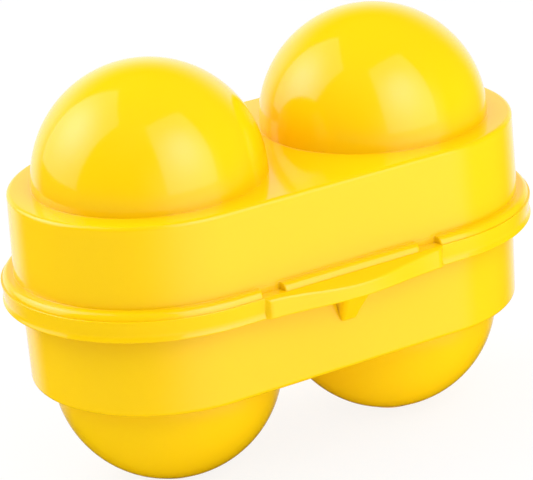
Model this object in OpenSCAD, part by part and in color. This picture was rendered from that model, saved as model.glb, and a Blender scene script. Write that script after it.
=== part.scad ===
// Camping egg box for two eggs: a moulded base and a moulded lid that clip together at a
// hinge along the back and close at a thumb catch in the middle of the front.
// The box stands on its two feet. The origin is under its middle, +X runs from cup to cup
// and -Y is the front.

/* [Outline] */
// Outer radius of the base's round ends under the rim
base_r = 29.4; // [27:0.1:34]
// Gap between the two domes of the lid
cup_gap = 6.2; // [3:0.1:12]
// Thickness of the moulded wall
wall = 1.5; // [1:0.1:2]

/* [Lid] */
// How far the lid's wall stands outside the base's wall
lid_step = 1.2; // [0.8:0.1:1.6]
// Height of the lid's shell from the parting line to its shoulder
lid_h = 19.2; // [14:0.2:28]
// How much the lid's round ends shrink up to the shoulder
lid_draft = 0.4; // [0:0.1:0.6]
// Radius of the lid's rounded shoulder
lid_fillet = 1.5; // [0.8:0.1:3]
// Width of the shoulder around each dome
dome_inset = 5.6; // [4.5:0.1:8]
// How far the dome's middle lies above the shoulder
dome_lift = 0.2; // [0:0.1:2]
// Thickness of the lid's flange
flange_t = 1.5; // [1.2:0.1:2]
// How far the flange's edge lies inside the rim's skirt
flange_inset = 0.4; // [0:0.1:0.8]

/* [Base] */
// Depth of the base's shell from the parting line to its shoulder
base_h = 23; // [18:0.5:30]
// How much the base's round ends shrink down to the shoulder
base_draft = 0.3; // [0:0.1:0.6]
// Radius of the base's rounded shoulder
base_fillet = 1.8; // [0.8:0.1:3]
// Width of the shoulder around each cup
cup_inset = 4.6; // [3.5:0.1:7]
// How far the cup's middle lies below the shoulder
cup_drop = 0.2; // [0:0.1:2]
// How much of the round bottom each flat foot takes off
foot_trim = 0.6; // [0.3:0.1:1.2]
// Radius of the flat foot under each cup
foot_r = 7; // [5.6:0.2:9]
// How far the rim stands out from the base's wall
rim_reach = 4; // [3.6:0.1:5]
// Height of the rim's skirt
rim_h = 4.6; // [4:0.1:6]
// Thickness of the skirt and of the shelf that carries it
skirt_t = 1.4; // [1:0.1:1.6]
// Height of the locating ridge that stands up inside the lid
ridge_h = 2; // [1:0.5:3]
// Gap between that ridge and the lid
ridge_gap = 0.3; // [0.2:0.05:0.4]

/* [Catch] */
// Length of the front stretch that the thumb lip takes up
lip_w = 44; // [36:1:50]
// How far the lip's two ends stand out from the rim
lip_step = 0.8; // [0.4:0.1:1.2]
// How far the lip's sloping top drops towards its front edge
lip_drop = 1.7; // [1:0.1:2.4]
// Thickness of the floor between the lip and the base's wall
lip_floor_t = 1; // [0.8:0.1:1.2]
// Width of each relief slot in the lid's flange
slot_w = 5.3; // [3:0.1:7]
// Width of the catch tab under the lid's tongue
tab_w = 14; // [8:1:20]
// Thickness of the catch tab
tab_t = 1.2; // [0.9:0.1:1.3]
// Gap between the tab's end and the floor under it
tab_gap = 0.4; // [0.3:0.1:0.8]
// Gap between the tab's sides and the ends of its pocket
tab_side = 0.6; // [0.3:0.1:1]
// Radius of the bead along the tab
bead_r = 0.5; // [0.3:0.05:0.6]
// Gap between the bead and the ledge inside the lip
bead_gap = 0.2; // [0.15:0.05:0.4]
// Width of the gusset under the lip at its upper end
gusset_w = 7; // [4:0.5:12]
// Width of the gusset at its lower end
gusset_tip_w = 3.6; // [1:0.2:4]
// Height of the gusset below the rim
gusset_h = 7.2; // [4:0.2:10]

/* [Hinge] */
// How far behind the rim the hinge bar's axis lies
bar_out = 0.45; // [0.4:0.05:1]
// Radius of the lid's hinge bar
bar_r = 1.3; // [1:0.05:1.4]
// Running clearance around the bar
bar_gap = 0.05; // [0.02:0.01:0.1]
// Thickness of the clip around the bar
clip_t = 1.2; // [0.9:0.1:1.4]
// Width of each clip
clip_w = 6; // [4:0.5:8]
// Distance between the middles of the two clips
clip_pitch = 14; // [12:0.5:18]
// Thickness of the two ears that carry the bar
ear_t = 2; // [1.2:0.2:3]
// Radius of the ears
ear_r = 2.2; // [1.9:0.1:2.4]
// Clearance around the moving edges of the hinge
hinge_gap = 0.4; // [0.3:0.05:0.6]

/* [Hidden] */
$fn = 96;
yellow = [0.99, 0.82, 0.12];
lid_r = base_r + lid_step;
rim_r = base_r + rim_reach;
flange_r = rim_r - flange_inset;
dome_r = lid_r - dome_inset;
cup_r = base_r - cup_inset;
cup_x = dome_r + cup_gap / 2;
cup_z = cup_r - foot_trim;
base_z = cup_z + cup_drop;
part_z = base_z + base_h;
lid_z = part_z + lid_h;
dome_z = lid_z + dome_lift;
flange_edge_r = 1;
rim_edge_r = 0.9;
over = 1;
sink = 0.5;

// The hinge bar lies on the parting plane, and the lip reaches as far forward as the
// bar's clips reach back
clip_r = bar_r + bar_gap + clip_t;
bar_y = rim_r + bar_out;
lip_reach = bar_out + clip_r;
clip_grip = 1.7;
clip_mouth = clip_grip * bar_r;
ear_x = clip_pitch / 2 + clip_w / 2 + hinge_gap;
bar_len = 2 * (ear_x + ear_t);

// The tab hangs in the pocket between the base's wall and the lip
tab_drop = rim_h - lip_floor_t - tab_gap;
pocket_w = tab_w + 2 * tab_side;
block_w = pocket_w + 2 * skirt_t;
tab_y = base_r + (rim_reach - skirt_t - tab_t) / 2;
bead_sink = bead_r / 3;
bead_y = tab_y + tab_t - bead_sink;
bead_z = bead_r - tab_drop;
ledge_y = bead_y + bead_r + bead_gap;
ledge_h = 0.8;
ledge_z = bead_z + bead_r + bead_gap;
lip_steps = 32;
round_steps = 6;

// Where a rounding of radius f sits in the corner of a drafted wall of height h
function lean(draft, h) = atan(draft / h);
function corner_x(r, draft, h, f) = r - (f + (h - f) * sin(lean(draft, h))) / cos(lean(draft, h));

// How far the lip stands out from the rim: a step at its ends and a bow between them
function bow(x) = (1 + cos(360 * x / lip_w)) / 2;
function lip_out(x) = lip_step + (lip_reach - lip_step) * bow(x);
function lip_x(i) = -lip_w / 2 + lip_w * i / lip_steps;

// Points of a rounding of radius f about c, from the angle a up to the top
function turn(a, i) = a + (90 - a) * i / round_steps;
function rounding(c, f, a) =
    [for (i = [0:round_steps]) c + f * [cos(turn(a, i)), sin(turn(a, i))]];

// Half section of a shell with a drafted side and a rounded shoulder
module shell_half(r, draft, h, f) {
    c = [corner_x(r, draft, h, f), h - f];
    polygon(concat([[0, 0], [r, 0]], rounding(c, f, lean(draft, h)), [[0, h]]));
}

// Half section of a flat rim with its upper outer edge rounded
module rim_half(r, h, edge) {
    polygon(concat([[0, 0], [r, 0]], rounding([r - edge, h - edge], edge, 0), [[0, h]]));
}

// Sweeps a half section around the long outline with round ends
module around() {
    for (side = [-1, 1])
        translate([side * cup_x, 0, 0]) rotate_extrude() children();
    rotate([90, 0, 90])
        translate([0, 0, -cup_x]) linear_extrude(2 * cup_x) {
            children();
            mirror([1, 0]) children();
        }
}

// Upright block of the long outline with round ends
module long_round(r, h) {
    around() square([r, h]);
}

module at_cups(z) {
    for (side = [-1, 1]) translate([side * cup_x, 0, z]) children();
}

// Cylinder along the hinge axis from x1 to x2
module along_bar(r, x1, x2) {
    translate([x1, bar_y, part_z]) rotate([0, 90, 0]) cylinder(r = r, h = x2 - x1);
}

// The lid and its parts

module lid_outside() {
    translate([0, 0, part_z]) {
        around() shell_half(lid_r, lid_draft, lid_h, lid_fillet);
        around() rim_half(flange_r, flange_t, flange_edge_r);
    }
    at_cups(dome_z) difference() {
        sphere(dome_r);
        translate([-dome_r, -dome_r, -2 * dome_r - dome_lift - wall / 2]) cube(2 * dome_r);
    }
}

module lid_inside() {
    translate([0, 0, part_z - over])
        around() shell_half(lid_r - wall, lid_draft, lid_h - wall + over, lid_fillet / 2);
    at_cups(dome_z) sphere(dome_r - wall);
}

module relief_slots() {
    for (side = [-1, 1])
        translate([side * (lip_w - slot_w) / 2, -flange_r, part_z])
            translate([-slot_w / 2, -over, -over])
                cube([slot_w, over + flange_r - lid_r, flange_t + 2 * over]);
}

// Tab under the tongue between the slots, with a bead that clicks under the lip's ledge
module catch_tab() {
    translate([-tab_w / 2, 0, part_z]) {
        translate([0, -tab_y - tab_t, -tab_drop]) cube([tab_w, tab_t, tab_drop + flange_t / 2]);
        translate([0, -bead_y, bead_z]) rotate([0, 90, 0]) cylinder(r = bead_r, h = tab_w);
    }
}

// Two ears behind the lid with the hinge bar between them
module hinge_ears() {
    for (side = [-1, 1])
        translate([side * (ear_x + ear_t / 2) - ear_t / 2, 0, 0]) {
            translate([0, bar_y, part_z]) rotate([0, 90, 0]) cylinder(r = ear_r, h = ear_t);
            translate([0, lid_r - wall / 2, part_z]) cube([ear_t, bar_y - lid_r + wall / 2, ear_r]);
        }
    along_bar(bar_r, -bar_len / 2, bar_len / 2);
}

module clip_clearance() {
    for (side = [-1, 1])
        along_bar(clip_r + hinge_gap,
            side * clip_pitch / 2 - clip_w / 2 - hinge_gap,
            side * clip_pitch / 2 + clip_w / 2 + hinge_gap);
}

module lid() {
    color(yellow) {
        difference() {
            lid_outside();
            lid_inside();
            relief_slots();
            clip_clearance();
        }
        catch_tab();
        hinge_ears();
    }
}

// The base and its parts

module base_outside() {
    translate([0, 0, part_z]) mirror([0, 0, 1])
        around() shell_half(base_r, base_draft, base_h, base_fillet);
    at_cups(cup_z) intersection() {
        sphere(cup_r);
        translate([-cup_r, -cup_r, -cup_z]) cube([2 * cup_r, 2 * cup_r, base_z + wall / 2]);
    }
    at_cups(0) cylinder(r = foot_r, h = cup_z - sqrt(cup_r * cup_r - foot_r * foot_r) + wall / 2);
}

module base_inside() {
    translate([0, 0, part_z + over]) mirror([0, 0, 1])
        around() shell_half(base_r - wall, base_draft, base_h - wall + over, base_fillet / 2);
    at_cups(cup_z) intersection() {
        sphere(cup_r - wall);
        translate([-cup_r, -cup_r, wall - cup_z]) cube(2 * cup_r);
    }
}

// The rim's shelf and skirt, open below and left out where the tab's pocket takes their place
module rim() {
    difference() {
        translate([0, 0, part_z]) mirror([0, 0, 1]) around() rim_half(rim_r, rim_h, rim_edge_r);
        translate([0, 0, part_z - rim_h - over]) long_round(base_r - wall, rim_h + 2 * over);
        translate([0, 0, part_z - rim_h - over])
            difference() {
                long_round(rim_r - skirt_t, rim_h - skirt_t + over);
                long_round(base_r - wall / 2, rim_h);
            }
        translate([-block_w / 2, -rim_r - over, part_z - rim_h - over])
            cube([block_w, over + rim_r - base_r + wall / 2, rim_h + 2 * over]);
    }
}

// Thumb lip: a wedge in front of the skirt that bows out under the lid's tongue. Its top slopes
// down from the rim to its front edge
module thumb_lip() {
    front = [for (i = [0:lip_steps]) [lip_x(i), -rim_r - lip_out(lip_x(i))]];
    difference() {
        translate([0, 0, part_z - rim_h]) linear_extrude(rim_h)
            polygon(concat(front, [[lip_w / 2, skirt_t - rim_r], [-lip_w / 2, skirt_t - rim_r]]));
        translate([-lip_w / 2 - over, -rim_r, part_z]) rotate([atan(lip_drop / lip_reach), 0, 0])
            translate([0, -2 * lip_reach, 0]) cube([lip_w + 2 * over, 2 * lip_reach, rim_h]);
    }
}

// Floor and end walls of the pocket between the skirt and the base's wall, which takes the lid's
// tab, and the ledge on the skirt that the tab's bead clicks under
module tab_pocket() {
    depth = rim_r - skirt_t + sink - base_r + wall / 2;
    translate([-block_w / 2, skirt_t - sink - rim_r, part_z - rim_h]) {
        cube([block_w, depth, lip_floor_t]);
        for (x = [0, block_w - skirt_t]) translate([x, 0, 0]) cube([skirt_t, depth, rim_h]);
    }
    translate([-pocket_w / 2, skirt_t - sink - rim_r, part_z + ledge_z])
        cube([pocket_w, rim_r - skirt_t + sink - ledge_y, ledge_h]);
}

// Tapered gusset that carries the lip from the base's wall
module lip_gusset() {
    top = part_z - rim_h;
    out = rim_r + lip_reach - skirt_t / 2;
    intersection() {
        translate([gusset_w, 0, top]) rotate([0, -90, 0])
            linear_extrude(2 * gusset_w)
                polygon([[sink, -out], [sink, wall / 2 - base_r], [-gusset_h, wall / 2 - base_r],
                    [-gusset_h, -base_r - skirt_t / 2], [0, -out]]);
        translate([0, wall / 2, top]) rotate([90, 0, 0])
            linear_extrude(out + wall)
                polygon([[-gusset_w / 2, sink], [gusset_w / 2, sink],
                    [gusset_tip_w / 2, -gusset_h], [-gusset_tip_w / 2, -gusset_h]]);
    }
}

// Ridge that stands up inside the lid and keeps the two halves in line
module locating_ridge() {
    translate([0, 0, part_z - wall])
        difference() {
            long_round(lid_r - wall - ridge_gap, ridge_h + wall);
            translate([0, 0, -over]) long_round(base_r - wall, ridge_h + wall + 2 * over);
        }
}

// Two open clips behind the base that snap round the lid's bar
module hinge_clips() {
    for (side = [-1, 1]) {
        x1 = side * clip_pitch / 2 - clip_w / 2;
        along_bar(clip_r, x1, x1 + clip_w);
        translate([x1, rim_r - skirt_t, part_z - rim_h + rim_edge_r])
            cube([clip_w, bar_y - rim_r + skirt_t, rim_h - rim_edge_r]);
    }
}

module hinge_cuts() {
    along_bar(bar_r + bar_gap, -ear_x - over, ear_x + over);
    along_bar(bar_r + hinge_gap, -ear_x, -clip_pitch / 2 - clip_w / 2);
    along_bar(bar_r + hinge_gap, clip_w / 2 - clip_pitch / 2, clip_pitch / 2 - clip_w / 2);
    along_bar(bar_r + hinge_gap, clip_pitch / 2 + clip_w / 2, ear_x);
    for (side = [-1, 1])
        along_bar(ear_r + hinge_gap,
            side * (ear_x + ear_t / 2) - ear_t / 2 - hinge_gap,
            side * (ear_x + ear_t / 2) + ear_t / 2 + hinge_gap);
    translate([-ear_x, bar_y, part_z]) rotate([-45, 0, 0])
        translate([0, 0, -clip_mouth / 2]) cube([2 * ear_x, clip_r + over, clip_mouth]);
}

module base() {
    color(yellow)
        difference() {
            union() {
                difference() {
                    base_outside();
                    base_inside();
                }
                rim();
                thumb_lip();
                tab_pocket();
                lip_gusset();
                locating_ridge();
                hinge_clips();
            }
            hinge_cuts();
        }
}

base();
lid();
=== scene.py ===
"""Camping egg box for two eggs: two glossy yellow mouldings that clip together.

The script goes through the box as it is put together: the studio first, then the lid moulding
with its catch tab and hinge, then the base moulding with its gusset, ledge and clips. Shapes are
worked out in millimetres from the parting plane between lid and base, and are put into the
frame as each piece is made.
"""

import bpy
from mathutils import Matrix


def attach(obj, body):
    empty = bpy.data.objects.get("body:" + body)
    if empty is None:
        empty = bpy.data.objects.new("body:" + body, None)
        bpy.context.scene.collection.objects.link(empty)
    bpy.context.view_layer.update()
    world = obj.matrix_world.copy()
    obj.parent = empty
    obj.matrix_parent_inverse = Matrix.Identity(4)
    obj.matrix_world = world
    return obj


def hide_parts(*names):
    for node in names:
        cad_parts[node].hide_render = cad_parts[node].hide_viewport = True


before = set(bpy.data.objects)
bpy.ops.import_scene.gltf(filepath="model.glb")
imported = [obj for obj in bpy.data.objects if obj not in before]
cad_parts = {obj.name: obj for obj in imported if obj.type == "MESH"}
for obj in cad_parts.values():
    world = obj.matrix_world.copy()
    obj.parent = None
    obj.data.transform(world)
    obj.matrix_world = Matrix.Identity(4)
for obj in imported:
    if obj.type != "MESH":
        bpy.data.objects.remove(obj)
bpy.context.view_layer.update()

import math

import bmesh
import bpy
import numpy as np
from mathutils import Matrix, Vector

# Camera: a long lens that looks at the box from the front left and a little above, as the
# photograph was taken. It stands 0.62 m away and is turned a little about its own axis.
CAMERA_AZIMUTH, CAMERA_ELEVATION, CAMERA_ROLL = (math.radians(a) for a in (-30.089, 20.536, -4.622))
CAMERA_DISTANCE = 0.6225
CAMERA_SLIDE = (-0.00085, -0.00219)
CAMERA_NEAR, CAMERA_FAR = 0.05, 50
PARTING_HEIGHT = 0.0474
FOCAL_PIXELS, PHOTO_WIDTH, SENSOR = 2878.8, 533, 36.0

back = Vector((
    math.sin(CAMERA_AZIMUTH) * math.cos(CAMERA_ELEVATION),
    -math.cos(CAMERA_AZIMUTH) * math.cos(CAMERA_ELEVATION),
    math.sin(CAMERA_ELEVATION)))
level = Vector((math.cos(CAMERA_AZIMUTH), math.sin(CAMERA_AZIMUTH), 0))
upright = back.cross(level)
right = level * math.cos(CAMERA_ROLL) + upright * math.sin(CAMERA_ROLL)
up = upright * math.cos(CAMERA_ROLL) - level * math.sin(CAMERA_ROLL)
place = back * CAMERA_DISTANCE + right * CAMERA_SLIDE[0] + up * CAMERA_SLIDE[1]
place.z += PARTING_HEIGHT

camera_data = bpy.data.cameras.new("camera")
camera_data.sensor_width = SENSOR
camera_data.lens = FOCAL_PIXELS * SENSOR / PHOTO_WIDTH
camera_data.clip_start, camera_data.clip_end = CAMERA_NEAR, CAMERA_FAR
camera = bpy.data.objects.new("camera", camera_data)
camera.matrix_world = (
    Matrix.Translation(place) @ Matrix((right, up, back)).transposed().to_4x4())
bpy.context.scene.collection.objects.link(camera)
bpy.context.scene.camera = camera
bpy.context.scene.view_settings.view_transform = "Standard"

# Lamps: two tall softboxes that stand on either side of the camera and lean over the box. Their
# reflections are the bright panes on the domes, brightest where each lamp's bulb sits.
PANELS = {
    # name: azimuth (degrees), distance (m), lean (degrees), half width, half height and height of
    # the middle over the parting plane (m), light
    "right_softbox": (9.5, 0.360, 17.6, 0.220, 0.355, 0.349, 1.4),
    "left_softbox": (-127.9, 0.419, 21.2, 0.276, 0.386, 0.379, 1.56),
}
BULB_PLACE, BULB_SPREAD = (0.5, 0.42, 0), (0.26, 0.17, 1)
BULB_GAIN, EDGE_GAIN = 1.75, 0.5


class Value:
    """One output of a shader node. Arithmetic on it adds Math nodes, and node() adds any other."""

    def __init__(self, tree, socket=None):
        self.tree, self.socket = tree, socket

    def node(self, kind, settings=None, inputs=None, output=0):
        """Adds a node: its settings first, then the values or links of its sockets."""
        made = self.tree.nodes.new(kind)
        for name, value in (settings or {}).items():
            setattr(made, name, value)
        for name, value in (inputs or {}).items():
            if isinstance(value, Value):
                self.tree.links.new(value.socket, made.inputs[name])
            else:
                made.inputs[name].default_value = value
        return Value(self.tree, made.outputs[output] if made.outputs else None)

    def math(self, operation, first, second):
        return self.node("ShaderNodeMath", {"operation": operation}, {0: first, 1: second})

    def __add__(self, other):
        return self.math("ADD", self, other)

    def __sub__(self, other):
        return self.math("SUBTRACT", self, other)

    def __rsub__(self, other):
        return self.math("SUBTRACT", other, self)

    def __mul__(self, other):
        return self.math("MULTIPLY", self, other)

    __radd__, __rmul__ = __add__, __mul__


for name, (turned, distance, lean, half_width, half_height, height, light) in PANELS.items():
    azimuth, tilt = math.radians(turned), math.radians(lean)
    out = Vector((math.sin(azimuth), -math.cos(azimuth), 0))
    side = Vector((math.cos(azimuth), math.sin(azimuth), 0))
    rise = Vector((0, 0, math.cos(tilt))) - out * math.sin(tilt)
    lamp = bpy.data.lights.new(name, "AREA")
    lamp.shape = "RECTANGLE"
    lamp.size, lamp.size_y = 2 * half_width, 2 * half_height
    lamp.energy = light * math.pi * lamp.size * lamp.size_y
    lamp.use_nodes = True
    lamp.node_tree.nodes.clear()
    cloth = Value(lamp.node_tree)
    away = cloth.node("ShaderNodeVectorMath", {"operation": "SUBTRACT"}, {
        0: cloth.node("ShaderNodeNewGeometry", output="Parametric"), 1: BULB_PLACE})
    away = cloth.node("ShaderNodeVectorMath", {"operation": "DIVIDE"}, {0: away, 1: BULB_SPREAD})
    away = cloth.node("ShaderNodeVectorMath", {"operation": "LENGTH"}, {0: away}, output="Value")
    bulb = cloth.math("POWER", math.e, away * away * -0.5)
    emission = cloth.node("ShaderNodeEmission", inputs={"Strength": bulb * BULB_GAIN + EDGE_GAIN})
    cloth.node("ShaderNodeOutputLight", inputs={"Surface": emission})
    holder = bpy.data.objects.new(name, lamp)
    holder.matrix_world = (
        Matrix.Translation(out * distance + Vector((0, 0, height + PARTING_HEIGHT)))
        @ Matrix((side, rise, side.cross(rise))).transposed().to_4x4())
    bpy.context.scene.collection.objects.link(holder)

# World: the white surroundings of the studio. The camera sees plain white, the gloss sees pale
# paper low down and the darker room overhead, and the box is filled from above, right and behind.
WHITE = (1, 1, 1, 1)
TOP_LIGHT, RIGHT_LIGHT, REAR_LIGHT = 1.12, 0.7, 0.5
PAPER_LEAST, PAPER_BEHIND, PAPER_BEFORE = 0.05, 0.95, 0.75
ZONES = {
    # name: axis of the direction, and its components where the zone starts and where it is full
    "low": (("Z", 0.68, 0.15), ("Z", -0.72, -0.3)),
    "behind": (("Y", 0.1, 0.6), ("X", -0.5, -0.1), ("Z", -0.58, -0.36)),
    "before": (("Y", 0.0, -0.5), ("X", -0.7, 0.1), ("X", 0.8, 0.5)),
    "top": (("Z", 0.2, 0.9),),
    "right": (("X", 0.3, 1.0),),
    "rear": (("Y", 0.2, 0.9),),
}
world = bpy.data.worlds.new("studio")
world.use_nodes = True
world.node_tree.nodes.clear()
sky = Value(world.node_tree)
ray = {kind: sky.node("ShaderNodeLightPath", output=f"Is {kind} Ray")
       for kind in ("Camera", "Glossy", "Transmission")}
direction = sky.node("ShaderNodeTexCoord", output="Generated")
axes = {name: sky.node("ShaderNodeSeparateXYZ", inputs={0: direction}, output=name)
        for name in "XYZ"}


def ease(value, start, end):
    """A smooth step of a value, from 0 at the start to 1 at the end."""
    return value.node("ShaderNodeMapRange", {"interpolation_type": "SMOOTHSTEP"}, {
        "Value": value, "From Min": start, "From Max": end})


def zone(name):
    """How far a direction lies in a zone: the product of the zone's smooth steps."""
    return math.prod(ease(axes[axis], start, end) for axis, start, end in ZONES[name])


gloss = zone("low") * (
    PAPER_LEAST + zone("behind") * PAPER_BEHIND + zone("before") * PAPER_BEFORE)
fill = zone("top") * TOP_LIGHT + zone("right") * RIGHT_LIGHT + zone("rear") * REAR_LIGHT
seen = ray["Camera"] + ray["Transmission"]
strength = seen + ray["Glossy"] * gloss + (1 - seen - ray["Glossy"]) * fill
shine = sky.node("ShaderNodeBackground", inputs={"Color": WHITE, "Strength": strength})
sky.node("ShaderNodeOutputWorld", inputs={"Surface": shine})
bpy.context.scene.world = world

# Floor: a lit sheet of white paper under the box, wide enough to reach the horizon. Its light
# lifts the box's undersides, more on the right. It keeps the box's shadow, and a glow that only
# the camera sees takes the rest of it to white.
FLOOR_HALF = 12.0
SHEET_WHITE = (0.86, 0.86, 0.86, 1)
SHEET_LIGHT, SHEET_MORE, SHEET_LEFT, SHEET_RIGHT = 0.19, 0.8, -0.1, 0.2
GLOW_SHARE = 0.85
floor_mesh = bpy.data.meshes.new("floor")
floor_mesh.from_pydata(
    [(x * FLOOR_HALF, y * FLOOR_HALF, 0) for x, y in ((-1, -1), (1, -1), (1, 1), (-1, 1))], [],
    [(0, 1, 2, 3)])
floor = bpy.data.objects.new("floor", floor_mesh)
bpy.context.scene.collection.objects.link(floor)
paper = bpy.data.materials.new("white_paper")
paper.use_nodes = True
paper.node_tree.nodes.clear()
sheet = Value(paper.node_tree)
matt = sheet.node("ShaderNodeBsdfDiffuse", inputs={"Color": SHEET_WHITE})
across = sheet.node("ShaderNodeSeparateXYZ", inputs={
    0: sheet.node("ShaderNodeTexCoord", output="Object")}, output="X")
lit = sheet.node("ShaderNodeLightPath", output="Is Diffuse Ray") * (
    ease(across, SHEET_LEFT, SHEET_RIGHT) * SHEET_MORE + SHEET_LIGHT)
lit = sheet.node("ShaderNodeEmission", inputs={"Color": WHITE, "Strength": lit})
lit = sheet.node("ShaderNodeAddShader", inputs={0: matt, 1: lit})
glow = sheet.node("ShaderNodeEmission", inputs={"Color": WHITE, "Strength": 1.0})
camera_ray = sheet.node("ShaderNodeLightPath", output="Is Camera Ray")
mixed = sheet.node("ShaderNodeMixShader", inputs={0: camera_ray * GLOW_SHARE, 1: lit, 2: glow})
sheet.node("ShaderNodeOutputMaterial", inputs={"Surface": mixed})
floor_mesh.materials.append(paper)
floor.visible_glossy = False

# Lid moulding: one shell of glossy yellow polypropylene with two domes, a flat shoulder round
# them, a straight wall and a thin flange whose edge is rounded. Two relief slots in the front
# flange leave a springy tongue.
MM = 0.001
MERGE = 2e-7
CUP_X, WALL = 28.1, 1.5
DOME_R, DOME_Z = 25.0, 19.4
LID_R, LID_H = 30.6, 19.2
LID_DRAFT, LID_FOOT, LID_CORE_DRAFT = 0.4, 0.03, 0.36
LID_FLAT, LID_CORE_FLAT = 28.2, 27.4
FLANGE_R, FLANGE_T = 33.0, 1.5
FLANGE_Z, FLANGE_IN = (FLANGE_T, 1.1, 0.5, 0.04, 0), (0.95, 0.42, 0.12, 0, 0)
LID_ROUNDS = (1.5, 0.12, 0.3, 0.35, 0.25, 0.03, 0.03, 0.15, 0.75)
SLOT_EDGES, SLOT_CORNER, SLOT_FLOOR = (16.7, 22.0), 0.5, 0.06
CLIP_EDGES, NOTCH_HALF, NOTCH_RAMP, NOTCH_R = (3.6, 10.4), 3.4, 0.3, 30.9
CORNER_STEPS = np.array([-1, -0.8, -0.6, -0.4, -0.2, -0.06, 0.06, 0.2, 0.4, 0.6, 0.8, 1])
STRAIGHT_STEPS, BEND_STEPS, DOME_STEPS, SEAM_STEPS = 26, 76, 31, 44
RING_SHARES = np.array([0.04, 0.12, 0.35, 0.65, 0.9, 1.0])[:, None]
FILLET, FILLET_WIDTH, CORE_FILLET, CORE_FILLET_WIDTH = 0.35, 0.8, 0.4, 1.0

# Its plastic, with the faint waviness and grain of a moulded wall
DEEP_YELLOW, PALE_YELLOW = (0.935, 0.59, 0.002, 1), (0.95, 0.61, 0.003, 1)
FLOW_SCALE, FLOW_DEPTH, GRAIN_SCALE, GRAIN_DEPTH = 42.0, 0.00005, 900.0, 0.0000015
SHINE, FLOW_BLUR, GRAIN_BLUR = 0.07, 0.05, 0.03
PLASTIC_IOR, SHINE_TINT = 1.6, (1.0, 0.62, 1.0, 1.0)
yellow_plastic = bpy.data.materials.new("yellow_plastic")
yellow_plastic.use_nodes = True
yellow_plastic.node_tree.nodes.clear()
plastic = Value(yellow_plastic.node_tree)
where = plastic.node("ShaderNodeTexCoord", output="Object")
flow = plastic.node("ShaderNodeTexNoise", inputs={
    "Vector": where, "Scale": FLOW_SCALE, "Detail": 2.0, "Roughness": 0.5})
grain = plastic.node("ShaderNodeTexNoise", inputs={
    "Vector": where, "Scale": GRAIN_SCALE, "Detail": 2.0, "Roughness": 0.6})
tone = plastic.node("ShaderNodeMix", {"data_type": "RGBA"}, {
    "Factor": flow, "A": DEEP_YELLOW, "B": PALE_YELLOW}, output=2)
skin = plastic.node("ShaderNodeBump", inputs={
    "Height": flow, "Distance": FLOW_DEPTH, "Strength": 1.0})
skin = plastic.node("ShaderNodeBump", inputs={
    "Height": grain, "Distance": GRAIN_DEPTH, "Strength": 1.0, "Normal": skin})
surface = plastic.node("ShaderNodeBsdfPrincipled", inputs={
    "Base Color": tone, "Roughness": SHINE + FLOW_BLUR * flow + GRAIN_BLUR * grain,
    "IOR": PLASTIC_IOR, "Specular Tint": SHINE_TINT, "Normal": skin})
plastic.node("ShaderNodeOutputMaterial", inputs={"Surface": surface})


def rounded(corners, radii, steps=6):
    """A line of corners with its inner corners rounded.

    Each corner gives way to a circular arc between the two points one tangent length away from
    it, drawn as a rational quadratic curve whose middle weight is the sine of half the corner's
    angle. The tangent length is the given radius, at most 0.45 of the shorter side. One more
    point on each side keeps the flats flat. Axes before the last two are kept.
    """
    corners = np.asarray(corners, float)
    corner = corners[..., 1:-1, :]
    arms = [corners[..., :-2, :] - corner, corners[..., 2:, :] - corner]
    lengths = [np.linalg.norm(arm, axis=-1, keepdims=True) for arm in arms]
    units = [arm / np.maximum(length, 1e-9) for arm, length in zip(arms, lengths)]
    shortest = np.minimum(*lengths)
    tangent = np.minimum(np.asarray(radii, float)[..., None], 0.45 * shortest)
    support = np.minimum(1.4 * tangent, 0.49 * shortest)
    weight = np.sqrt(np.clip((1 - (units[0] * units[1]).sum(-1, keepdims=True)) / 2, 0, 1))
    start, end = (corner + unit * tangent for unit in units)
    lead, trail = (corner + unit * support for unit in units)
    t = np.linspace(0, 1, steps + 1)[:, None]
    first, middle, last = (1 - t) ** 2, 2 * t * (1 - t) * weight[..., None, :], t ** 2
    curve = first * start[..., None, :] + middle * corner[..., None, :] + last * end[..., None, :]
    curve = curve / (first + middle + last)
    run = np.concatenate([lead[..., None, :], curve, trail[..., None, :]], axis=-2)
    run = run.reshape(run.shape[:-3] + (-1, 2))
    return np.concatenate([corners[..., :1, :], run, corners[..., -1:, :]], axis=-2)


def half_outline(front_edges, back_edges, corner):
    """Stations along the right half of the long outline, from its front middle to its back middle.

    Returns the station's place along the centre line and the angle of its outward normal: the
    straight front at -90 degrees, the round end, and the straight back at 90 degrees. Stations
    crowd round each given edge, within the corner's size of it.
    """
    straight = np.linspace(0, CUP_X, STRAIGHT_STEPS)
    front, rear = (np.unique(np.round(np.concatenate(
        [straight] + [edge + corner * CORNER_STEPS for edge in edges]), 6))
        for edges in (front_edges, back_edges))
    bend = np.linspace(-90, 90, BEND_STEPS)[1:-1]
    along = np.concatenate([front, np.full(bend.size, CUP_X), rear[::-1]])
    angle = np.concatenate([np.full(front.size, -90.0), bend, np.full(rear.size, 90.0)])
    return along, np.radians(angle)


def swept(along, angle, section):
    """Carries a section (reach, height) for each station along the outline: a point lies at its
    station on the centre line plus its reach times the outward normal."""
    reach, height = section[..., 0], section[..., 1]
    return np.stack([along[:, None] + reach * np.cos(angle)[:, None],
                     reach * np.sin(angle)[:, None], height], axis=-1)


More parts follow.
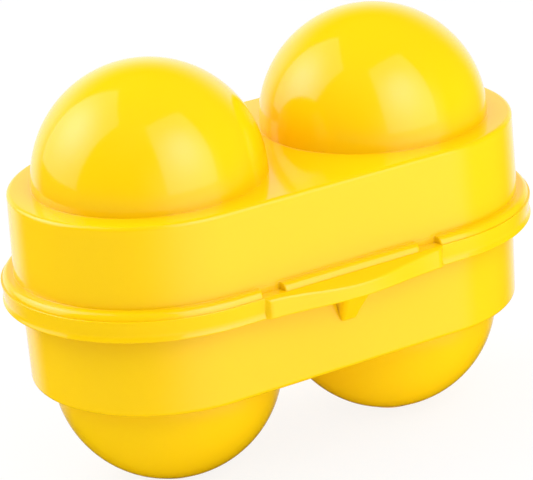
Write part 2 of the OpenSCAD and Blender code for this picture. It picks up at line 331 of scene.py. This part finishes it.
def cap(rim, seam_half, ring):
    """Closes a half shell from its rim to the pole over its cup.

    The loop is the rim plus the straight seam on the middle plane. Rings of the given profile
    (radius, height) lie around the cup's axis in the loop's own directions, and the last ring
    is joined to the loop by straight lines.
    """
    seam_angle = math.atan(CUP_X / seam_half)
    spread = np.linspace(math.pi / 2 + seam_angle, 1.5 * math.pi - seam_angle, SEAM_STEPS)[1:-1]
    seam = np.stack([np.zeros(spread.size), -CUP_X * np.tan(spread),
                     np.full(spread.size, rim[0, 2])], -1)
    loop = np.concatenate([rim, seam])
    way = np.arctan2(loop[:, 1], loop[:, 0] - CUP_X)
    rings = np.stack([CUP_X + ring[:, 0] * np.cos(way)[:, None], ring[:, 0] * np.sin(way)[:, None],
                      np.broadcast_to(ring[:, 1], (way.size, len(ring)))], axis=-1)
    flat = rings[:, -1:, :] * (1 - RING_SHARES) + loop[:, None, :] * RING_SHARES
    return np.concatenate([rings, flat], axis=1)


def dome(radius):
    """The profile (radius, height) of a dome, a quarter circle from its pole down to its foot."""
    turn = np.radians(np.linspace(0, 90, DOME_STEPS))
    return np.stack([radius * np.sin(turn), DOME_Z + radius * np.cos(turn)], -1)


def collar(radius, start, flat, width, fillet):
    """The profile from a cup's wall to the flat round it, with a fillet between the two."""
    return rounded([(radius, start), (radius, flat), (radius + width, flat)], (fillet,), 4)


def grid_faces(rows, columns, closed, start):
    """Quads of a grid of points, with the last row joined to the first where it is closed."""
    row = np.arange(rows if closed else rows - 1)[:, None]
    column = np.arange(columns - 1)[None, :]
    after = (row + 1) % rows
    corners = [row * columns + column, after * columns + column,
               after * columns + column + 1, row * columns + column + 1]
    corners = [np.broadcast_to(corner, (row.size, columns - 1)) for corner in corners]
    return start + np.stack(corners, -1).reshape(-1, 4)


def moulding(name, patches, mirrored=True, caps=()):
    """Makes one closed piece from grids of points in millimetres over the parting plane.

    Each patch is (points, closed), and with mirrored set each also gives its image at -x. Points
    that meet are merged, which closes seams and poles, and the faces are turned outwards.
    """
    points, faces, start = [], [], 0
    for grid, closed in patches:
        for sign in (1, -1) if mirrored else (1,):
            points.append(grid.reshape(-1, 3) * (sign, 1, 1))
            faces.append(grid_faces(grid.shape[0], grid.shape[1], closed, start))
            start += grid.shape[0] * grid.shape[1]
    points = (np.concatenate(points) + (0, 0, PARTING_HEIGHT / MM)) * MM
    faces = np.concatenate(faces).tolist() + [list(loop) for loop in caps]
    mesh = bpy.data.meshes.new(name)
    mesh.from_pydata(points.tolist(), [], faces)
    work = bmesh.new()
    work.from_mesh(mesh)
    bmesh.ops.remove_doubles(work, verts=work.verts, dist=MERGE)
    bmesh.ops.recalc_face_normals(work, faces=work.faces)
    work.to_mesh(mesh)
    work.free()
    mesh.shade_smooth()
    mesh.materials.append(yellow_plastic)
    piece = bpy.data.objects.new(name, mesh)
    bpy.context.scene.collection.objects.link(piece)
    return piece


def tongue_reach(x):
    """Reach of the flange's edge over the wall, as a share: 0 in the relief slots and 1 beside
    them. Each step is a steep ramp with a quarter circle at its top and at its foot."""
    first, last = SLOT_EDGES
    into_slot = np.where(x > (first + last) / 2, last - x, x - first)
    u = np.clip(into_slot / SLOT_CORNER, -1, 1)
    bend = SLOT_CORNER / (FLANGE_R - LID_R)
    top = 1 - bend * (1 - np.sqrt(np.clip(1 - (1 + u) ** 2, 0, 1)))
    foot = bend * (1 - np.sqrt(np.clip(1 - (1 - u) ** 2, 0, 1)))
    return np.where(u < 0, top, foot)


along, angle = half_outline(SLOT_EDGES, CLIP_EDGES, SLOT_CORNER)
front, rear = angle == angle[0], angle == angle[-1]
edge = np.full(along.size, FLANGE_R)
slot_r = LID_R + SLOT_FLOOR
edge[front] = slot_r + (FLANGE_R - LID_R - SLOT_FLOOR) * tongue_reach(along[front])
past_notch = np.abs(along - sum(CLIP_EDGES) / 2) - NOTCH_HALF
notch = np.clip(past_notch / NOTCH_RAMP + 0.5, 0, 1)
edge[rear] = NOTCH_R + (FLANGE_R - NOTCH_R) * notch[rear]

# The lid's section, from the shoulder down the wall, out over the flange and round its edge to
# the underside, and up the inside
line = np.tile(np.array(
    [(LID_FLAT, LID_H), (LID_R - LID_DRAFT, LID_H), (LID_R - LID_FOOT, FLANGE_T)]
    + [(FLANGE_R, z) for z in FLANGE_Z]
    + [(LID_R - WALL, 0), (LID_R - WALL - LID_CORE_DRAFT, LID_H - WALL),
       (LID_CORE_FLAT, LID_H - WALL)]), (along.size, 1, 1))
stand = (edge - LID_R) / (FLANGE_R - LID_R)
line[:, 3:3 + len(FLANGE_Z), 0] = edge[:, None] - stand[:, None] * FLANGE_IN
wall = swept(along, angle, rounded(line, LID_ROUNDS))

foot = collar(DOME_R, DOME_Z - 0.001, LID_H, FILLET_WIDTH, FILLET)[1:]
foot[:, 1] = np.minimum(foot[:, 1], DOME_Z)
outer_cap = cap(wall[:, 0], LID_FLAT, np.concatenate([dome(DOME_R), foot]))
inner_r = DOME_R - WALL
foot = collar(inner_r, DOME_Z - 0.1, LID_H - WALL, CORE_FILLET_WIDTH, CORE_FILLET)
inner_cap = cap(wall[:, -1], LID_CORE_FLAT, np.concatenate([dome(inner_r), foot]))
lid = moulding("lid_moulding", [(wall, False), (outer_cap, True), (inner_cap, True)])
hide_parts("lid")
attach(lid, "lid_shell")

# Catch tab: the flat finger under the lid's tongue, with the bead along its foot that clicks
# under the ledge inside the thumb lip. It is moulded with the lid.
TAB_HALF, TAB_IN, TAB_OUT = 7.0, -30.1, -31.3
TAB_TOP, TAB_FOOT, TAB_ROUND = 0.6, -3.2, 0.2
BEAD_Y, BEAD_Z, BEAD_R, BEAD_TURN, BEAD_SLOPE = -31.13, -2.7, 0.5, 70, 0.6


def tube(name, grid):
    """Makes a piece from rings of points, one a column, and closes both ends with a flat face."""
    rows, columns = grid.shape[:2]
    ends = [np.arange(rows) * columns + column for column in (0, columns - 1)]
    return moulding(name, [(grid, True)], mirrored=False, caps=ends)


def bar(name, outline, x1, x2, end_round):
    """Carries a closed outline (y, z) along x. Near both ends the outline is drawn in towards its
    middle along a quarter circle, which rounds the ends."""
    turn = np.radians(np.linspace(0, 90, 5))
    rise, inset = end_round * (1 - np.cos(turn)), end_round * (1 - np.sin(turn))
    places = np.concatenate([x1 + rise, (x2 - rise)[::-1]])
    insets = np.concatenate([inset, inset[::-1]])
    middle = (outline.min(0) + outline.max(0)) / 2
    half = (outline.max(0) - outline.min(0)) / 2
    shrink = 1 - insets[:, None] / half
    flat = middle + (outline[None] - middle) * shrink[:, None, :]
    x = np.broadcast_to(places[:, None, None], flat.shape[:2] + (1,))
    return tube(name, np.concatenate([x, flat], axis=-1).transpose(1, 0, 2))


def arc(middle, radius, first, last, steps):
    """Points (y, z) of a circular arc between two angles in degrees."""
    a = np.radians(np.linspace(first, last, steps))
    return np.stack([middle[0] + radius * np.cos(a), middle[1] + radius * np.sin(a)], -1)


tab_line = np.concatenate([
    [(TAB_IN, TAB_TOP), (TAB_IN, TAB_FOOT + TAB_ROUND), (TAB_IN - TAB_ROUND, TAB_FOOT),
     (TAB_OUT + TAB_ROUND / 2, TAB_FOOT)],
    arc((BEAD_Y, BEAD_Z), BEAD_R, 180 + BEAD_TURN, 180 - BEAD_TURN, 13),
    [(TAB_OUT, BEAD_Z + BEAD_SLOPE), (TAB_OUT, TAB_TOP)]])
tab = bar("catch_tab", tab_line, -TAB_HALF, TAB_HALF, TAB_ROUND)
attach(tab, "lid_shell")

# Hinge ears and bar: two ears behind the lid carry the bar that snaps into the base's clips.
# They are moulded with the lid.
BAR_Y, BAR_R, BAR_HALF = 33.85, 1.3, 12.3
EAR_X, EAR_T, EAR_R, EAR_ROUND = 10.4, 2.0, 2.2, 0.2
EAR_ROOT, EAR_FOOT, EAR_FOOT_Z = 29.9, 31.5, 0.15
ear_line = np.concatenate([
    [(EAR_ROOT, EAR_FOOT_Z), (EAR_FOOT, EAR_FOOT_Z)], arc((BAR_Y, 0), EAR_R, 180, 450, 40),
    [(EAR_ROOT, EAR_R)]])
for side, name in ((-1, "left"), (1, "right")):
    middle = side * (EAR_X + EAR_T / 2)
    ear = bar("hinge_ear_" + name, ear_line, middle - EAR_T / 2, middle + EAR_T / 2, EAR_ROUND)
    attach(ear, "lid_shell")
hinge_bar = bar("hinge_bar", arc((BAR_Y, 0), BAR_R, 0, 352.5, 48), -BAR_HALF, BAR_HALF, EAR_ROUND)
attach(hinge_bar, "lid_shell")

# Base moulding: a tray with two cups on flat feet, a hollow rim all round with a slight waist, a
# ridge that stands up inside the lid, and the thumb lip, a wedge that bows out under the tongue.
BASE_R, BASE_DRAFT, BASE_H, BASE_FLAT = 29.4, 0.3, 23.0, 26.9
CUP_R, CUP_Z, TABLE_Z = 24.8, -23.2, -47.4
RIDGE_IN, RIDGE_OUT, RIDGE_H, CORE_R = 27.9, 28.8, 2.0, 27.61
RIM_R, RIM_H, SKIRT = 33.4, 4.6, 1.4
WAIST, WAIST_Z, FLARE, FLARE_Z, RIM_FOOT = 0.45, -3.4, 0.02, -4.35, 0.15
FOOT_R, FOOT_EDGE, FOOT_IN = 7.0, -46.99, 2.6
LIP_W, LIP_REACH, LIP_STEP, LIP_DROP, LIP_CORNER = 44.0, 3.0, 0.8, 1.7, 0.8
POCKET_HALF, POCKET_BLOCK, POCKET_Z, POCKET_RAMP = 7.6, 9.0, -3.6, 0.3
BASE_ROUNDS = (0.9, 0.25, 0.25, 0.15, 0.12, 0.2, 0.2, 0.25, 0.2, 0.12, 1.0, 0.1, 0.1, 0.2, 0.3,
               0.3, 0.2, 1.8)
CREST, CREST_MORE = 9, 0.38

along, angle = half_outline((POCKET_HALF, POCKET_BLOCK, LIP_W / 2), (), LIP_CORNER)
front = angle == angle[0]
station = np.ones(along.size)
bow = np.where(front, 0.5 + 0.5 * np.cos(2 * math.pi * np.minimum(along, LIP_W / 2) / LIP_W), 0)


def inside(edge):
    """1 for stations of the front that lie nearer the middle than the edge, and 0 beyond it."""
    u = np.clip((edge - along) / POCKET_RAMP + 0.5, 0, 1)
    return np.where(front, u * u * (3 - 2 * u), 0)


pocket, floored = inside(POCKET_HALF), inside(POCKET_BLOCK)
corner = np.clip((along - LIP_W / 2) / LIP_CORNER + 1, 0, 1)
lipped = np.where(front, 1 - corner, 0)
lip_out = RIM_R + lipped * (LIP_STEP + (LIP_REACH - LIP_STEP) * bow)
lip_top = -LIP_DROP * (lip_out - RIM_R) / LIP_REACH


def between(rim_point, lip_point, share):
    """A corner of the section that goes from its place on the plain rim to its place on the lip."""
    return np.stack([a + (b - a) * share for a, b in zip(rim_point, lip_point)], -1)


def steady(reach, height):
    """A corner of the section that is the same all round."""
    return between((reach, height), (reach, height), station)


# The base's section, from the tray's floor up over the ridge, across the rim's top (or down into
# the pocket and up again) to the rim's edge or the lip's crest, down the rim's face, up inside
# the hollow rim (or straight across under the pocket), and down the wall
line = np.stack([
    steady(BASE_FLAT, -BASE_H + WALL),
    steady(CORE_R, -BASE_H + WALL),
    steady(RIDGE_IN, RIDGE_H),
    steady(RIDGE_OUT, RIDGE_H),
    steady(RIDGE_OUT, 0),
    between((29.2, 0), (29.4, 0), pocket),
    between((30.2, 0), (29.4, POCKET_Z), pocket),
    between((31.2, 0), (RIM_R - SKIRT, POCKET_Z), pocket),
    between((31.8, 0), (RIM_R - SKIRT, 0), pocket),
    between((RIM_R - 0.9, 0), (RIM_R - 0.1, 0), lipped),
    np.stack([lip_out, lip_top], -1),
    np.stack([lip_out - WAIST * (1 - lipped), WAIST_Z * station], -1),
    np.stack([lip_out - FLARE * (1 - lipped), FLARE_Z * station], -1),
    np.stack([lip_out - RIM_FOOT, -RIM_H * station], -1),
    between((RIM_R - SKIRT, -RIM_H), (RIM_R - SKIRT, -RIM_H), floored),
    between((RIM_R - SKIRT, -SKIRT), (31.4, -RIM_H), floored),
    between((29.42, -SKIRT), (29.9, -RIM_H), floored),
    between((29.38, -RIM_H), (29.36, -RIM_H), floored),
    steady(BASE_R - BASE_DRAFT, -BASE_H),
    steady(BASE_FLAT, -BASE_H)], axis=1)
rounds = np.tile(BASE_ROUNDS, (along.size, 1))
rounds[:, CREST] += CREST_MORE * lipped
wall = swept(along, angle, rounded(line, rounds))


def bowl(radius, start):
    """The profile (radius, height) of a cup from the given angle off its pole up to its brow."""
    turn = np.linspace(start, math.pi / 2, 29)
    return np.stack([radius * np.sin(turn), CUP_Z - radius * np.cos(turn)], -1)


outer_bowl = bowl(CUP_R, math.asin((FOOT_R + 0.12) / CUP_R))
foot = rounded([(0, TABLE_Z), (FOOT_R, TABLE_Z), (FOOT_R, FOOT_EDGE), outer_bowl[0] + (0.1, 0.035)],
               (0.15, 0.12), 4)[:-1]
brow = collar(CUP_R, CUP_Z + 0.001, -BASE_H, FILLET_WIDTH, FILLET)[1:]
brow[:, 1] = np.maximum(brow[:, 1], CUP_Z)
outer_cap = cap(wall[:, -1], BASE_FLAT, np.concatenate([foot, outer_bowl[1:], brow]))
inner_r = CUP_R - WALL
inner_bowl = bowl(inner_r, math.acos((CUP_R - 0.6 - WALL) / inner_r))
brow = collar(inner_r, CUP_Z + 0.1, -BASE_H + WALL, CORE_FILLET_WIDTH, CORE_FILLET)
inner_cap = cap(wall[:, 0], BASE_FLAT, np.concatenate([
    [(0, TABLE_Z + WALL), (FOOT_IN, TABLE_Z + WALL)], inner_bowl, brow]))
base = moulding("base_moulding", [(wall, False), (outer_cap, True), (inner_cap, True)])
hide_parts("base")
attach(base, "base_shell")

# Gusset: the small tapered block that carries the thumb lip from the base's wall. It is moulded
# with the base.
GUSSET_TOP, GUSSET_FOOT, GUSSET_ROOT, GUSSET_ROUND = -4.2, -11.8, 28.8, 1.2
GUSSET_HALF, GUSSET_TIP_HALF = 3.5, 1.8
GUSSET_REACH, GUSSET_TIP_REACH = 35.2, 30.0
DOWN_SHARES = np.array([0, 0.02, 0.1, 0.3, 0.5, 0.7, 0.9, 0.96, 0.985, 1.0])
TIP_INSETS = np.array([0, 0, 0, 0, 0, 0, 0, 0.06, 0.16, 0.36])
half = GUSSET_HALF + (GUSSET_TIP_HALF - GUSSET_HALF) * DOWN_SHARES - TIP_INSETS
reach = GUSSET_REACH + (GUSSET_TIP_REACH - GUSSET_REACH) * DOWN_SHARES - TIP_INSETS
root = np.full(reach.size, GUSSET_ROOT)
ring = rounded(np.stack([
    np.stack([-half, root], -1), np.stack([-half, reach], -1),
    np.stack([half, reach], -1), np.stack([half, root], -1)], axis=1), (GUSSET_ROUND,) * 2)
height = GUSSET_TOP + (GUSSET_FOOT - GUSSET_TOP) * DOWN_SHARES
height = np.broadcast_to(height[:, None], ring.shape[:2])
gusset = tube("lip_gusset", np.stack([ring[..., 0], -ring[..., 1], height], -1).transpose(1, 0, 2))
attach(gusset, "base_shell")

# Ledge: the low ridge on the skirt behind the lip that the tab's bead clicks under. It is
# moulded with the base.
LEDGE_IN, LEDGE_OUT, LEDGE_FOOT, LEDGE_TOP = -31.83, -32.6, -2.0, -1.2
LEDGE_HALF, LEDGE_ROUND = 7.7, 0.08
ledge_corners = np.array([(LEDGE_IN, LEDGE_FOOT), (LEDGE_OUT, LEDGE_FOOT), (LEDGE_OUT, LEDGE_TOP),
                          (LEDGE_IN, LEDGE_TOP)])
ledge_line = rounded(np.concatenate([ledge_corners[-1:], ledge_corners, ledge_corners[:1]]),
                     (LEDGE_ROUND,) * 4, 4)[1:-1]
ledge = bar("catch_ledge", ledge_line, -LEDGE_HALF, LEDGE_HALF, LEDGE_ROUND)
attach(ledge, "base_shell")

# Hinge clips: two open hooks behind the base that snap round the lid's bar, each on a block that
# grows out of the rim. They are moulded with the base.
CLIP_R, BORE_R, CLIP_MOUTH, CLIP_HALF, CLIP_X, CLIP_ROUND = 2.55, 1.35, 2.21, 3.0, 7.0, 0.12
BLOCK_Y, BLOCK_TOP, BLOCK_SHOULDER, BLOCK_FOOT = 32.0, -1.76, -1.0, -3.7
MOUTH_TURN = -45
outer_half = math.degrees(math.asin(CLIP_MOUTH / 2 / CLIP_R))
bore_half = math.degrees(math.asin(CLIP_MOUTH / 2 / BORE_R))
clip_line = np.concatenate([
    arc((BAR_Y, 0), CLIP_R, MOUTH_TURN + outer_half, 180, 40),
    [(BAR_Y - CLIP_R, BLOCK_SHOULDER), (BLOCK_Y, BLOCK_TOP), (BLOCK_Y, BLOCK_FOOT),
     (BAR_Y, BLOCK_FOOT)],
    arc((BAR_Y, 0), CLIP_R, -90, MOUTH_TURN - outer_half, 6),
    arc((BAR_Y, 0), BORE_R, MOUTH_TURN - bore_half, MOUTH_TURN - 360 + bore_half, 36)])
for side, name in ((-1, "left"), (1, "right")):
    clip = bar("hinge_clip_" + name, clip_line, side * CLIP_X - CLIP_HALF,
               side * CLIP_X + CLIP_HALF, CLIP_ROUND)
    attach(clip, "base_shell")
